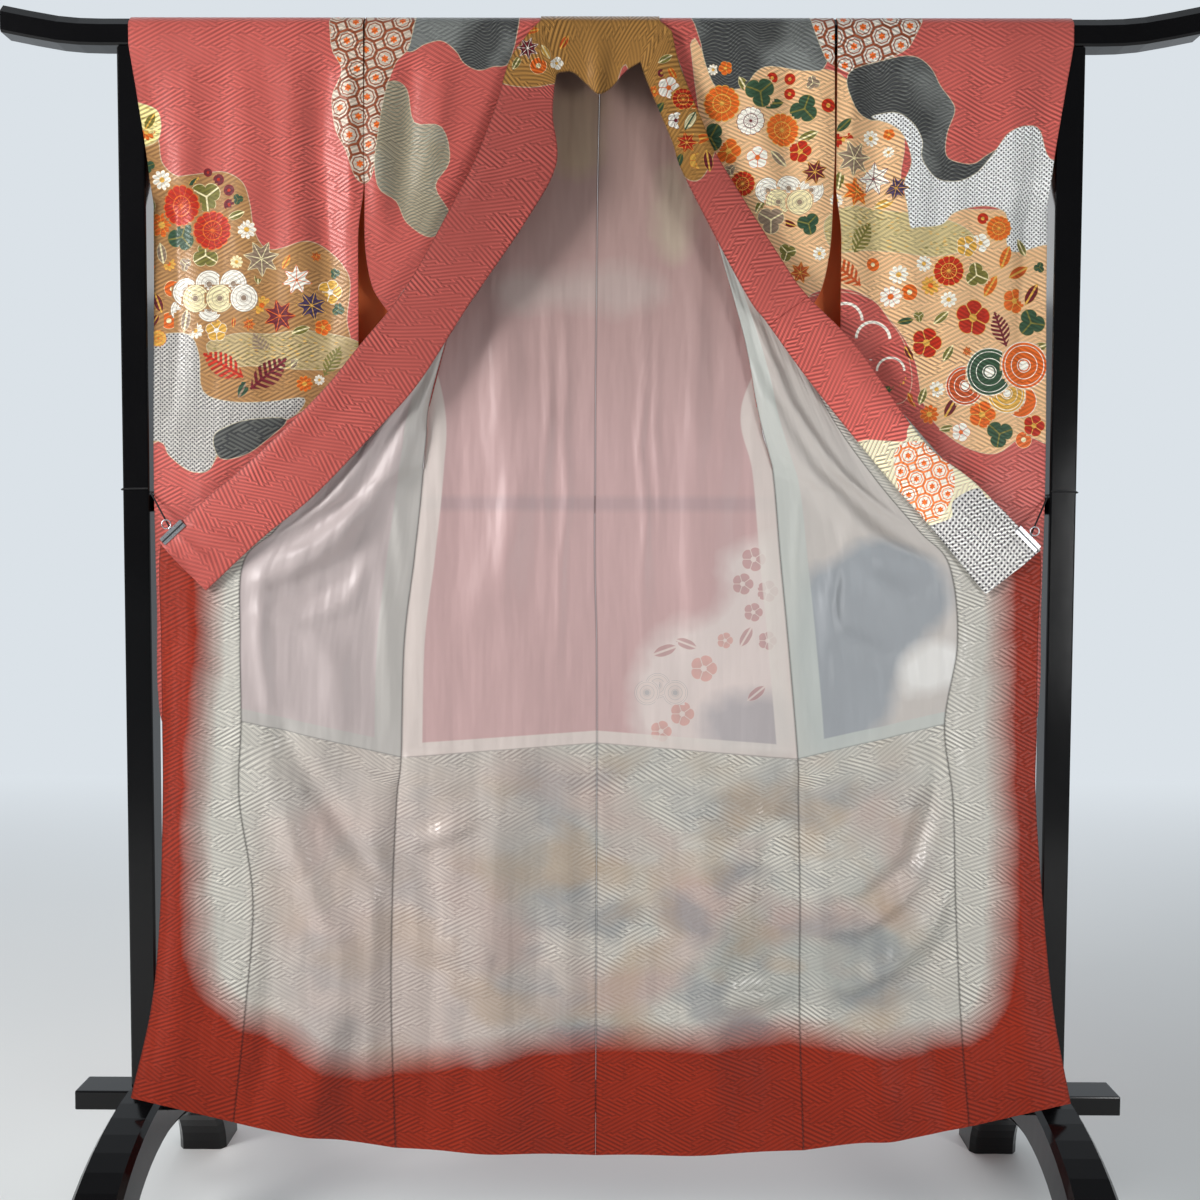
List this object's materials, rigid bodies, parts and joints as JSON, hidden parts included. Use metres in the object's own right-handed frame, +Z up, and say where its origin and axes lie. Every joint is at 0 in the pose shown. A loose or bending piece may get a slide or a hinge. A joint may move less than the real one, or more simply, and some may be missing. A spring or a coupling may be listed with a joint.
{
  "type": "furisode on kimono stand",
  "caption": "Long-sleeved formal kimono hung open over a black lacquered stand, lining to the front, on two arched feet.",
  "frame": {"origin": "on the floor, midway between the feet", "axes": "+X to the viewer's right, +Y away from the viewer (the lining side faces -Y), +Z up"},
  "size_m": [1.676, 0.56, 1.7482],
  "materials": {
    "outer_silk": "salmon figured silk with dyed motifs",
    "body_lining_silk": "thin smooth white silk",
    "hem_lining_damask": "white key-fret damask with a vermilion hem",
    "black_lacquer": "gloss black lacquer",
    "clip_steel": "satin steel",
    "tie_cord": "black twisted cord"
  },
  "bodies": {
    "root": {"back_left": "outer_silk", "back_right": "outer_silk", "clip_left": "clip_steel", "clip_right": "clip_steel", "collar": "outer_silk", "foot_left": "black_lacquer", "foot_right": "black_lacquer", "front_left": "outer_silk", "front_right": "outer_silk", "front_shoulder_left": "outer_silk", "front_shoulder_right": "outer_silk", "hem_lining_back_left": "hem_lining_damask", "hem_lining_back_right": "hem_lining_damask", "hem_lining_front_left": "hem_lining_damask", "hem_lining_front_right": "hem_lining_damask", "hem_lining_okumi_left": "hem_lining_damask", "hem_lining_okumi_right": "hem_lining_damask", "lining_back_left": "body_lining_silk", "lining_back_right": "body_lining_silk", "lining_front_left": "body_lining_silk", "lining_front_right": "body_lining_silk", "low_rail": "black_lacquer", "mid_rail": "black_lacquer", "okumi_left": "outer_silk", "okumi_right": "outer_silk", "over_collar": "outer_silk", "post_left": "black_lacquer", "post_right": "black_lacquer", "sleeve_left_back": "outer_silk", "sleeve_left_front": "outer_silk", "sleeve_right_back": "outer_silk", "sleeve_right_front": "outer_silk", "tie_left": "tie_cord", "tie_right": "tie_cord", "top_rail": "black_lacquer"}
  },
  "joints": []
}
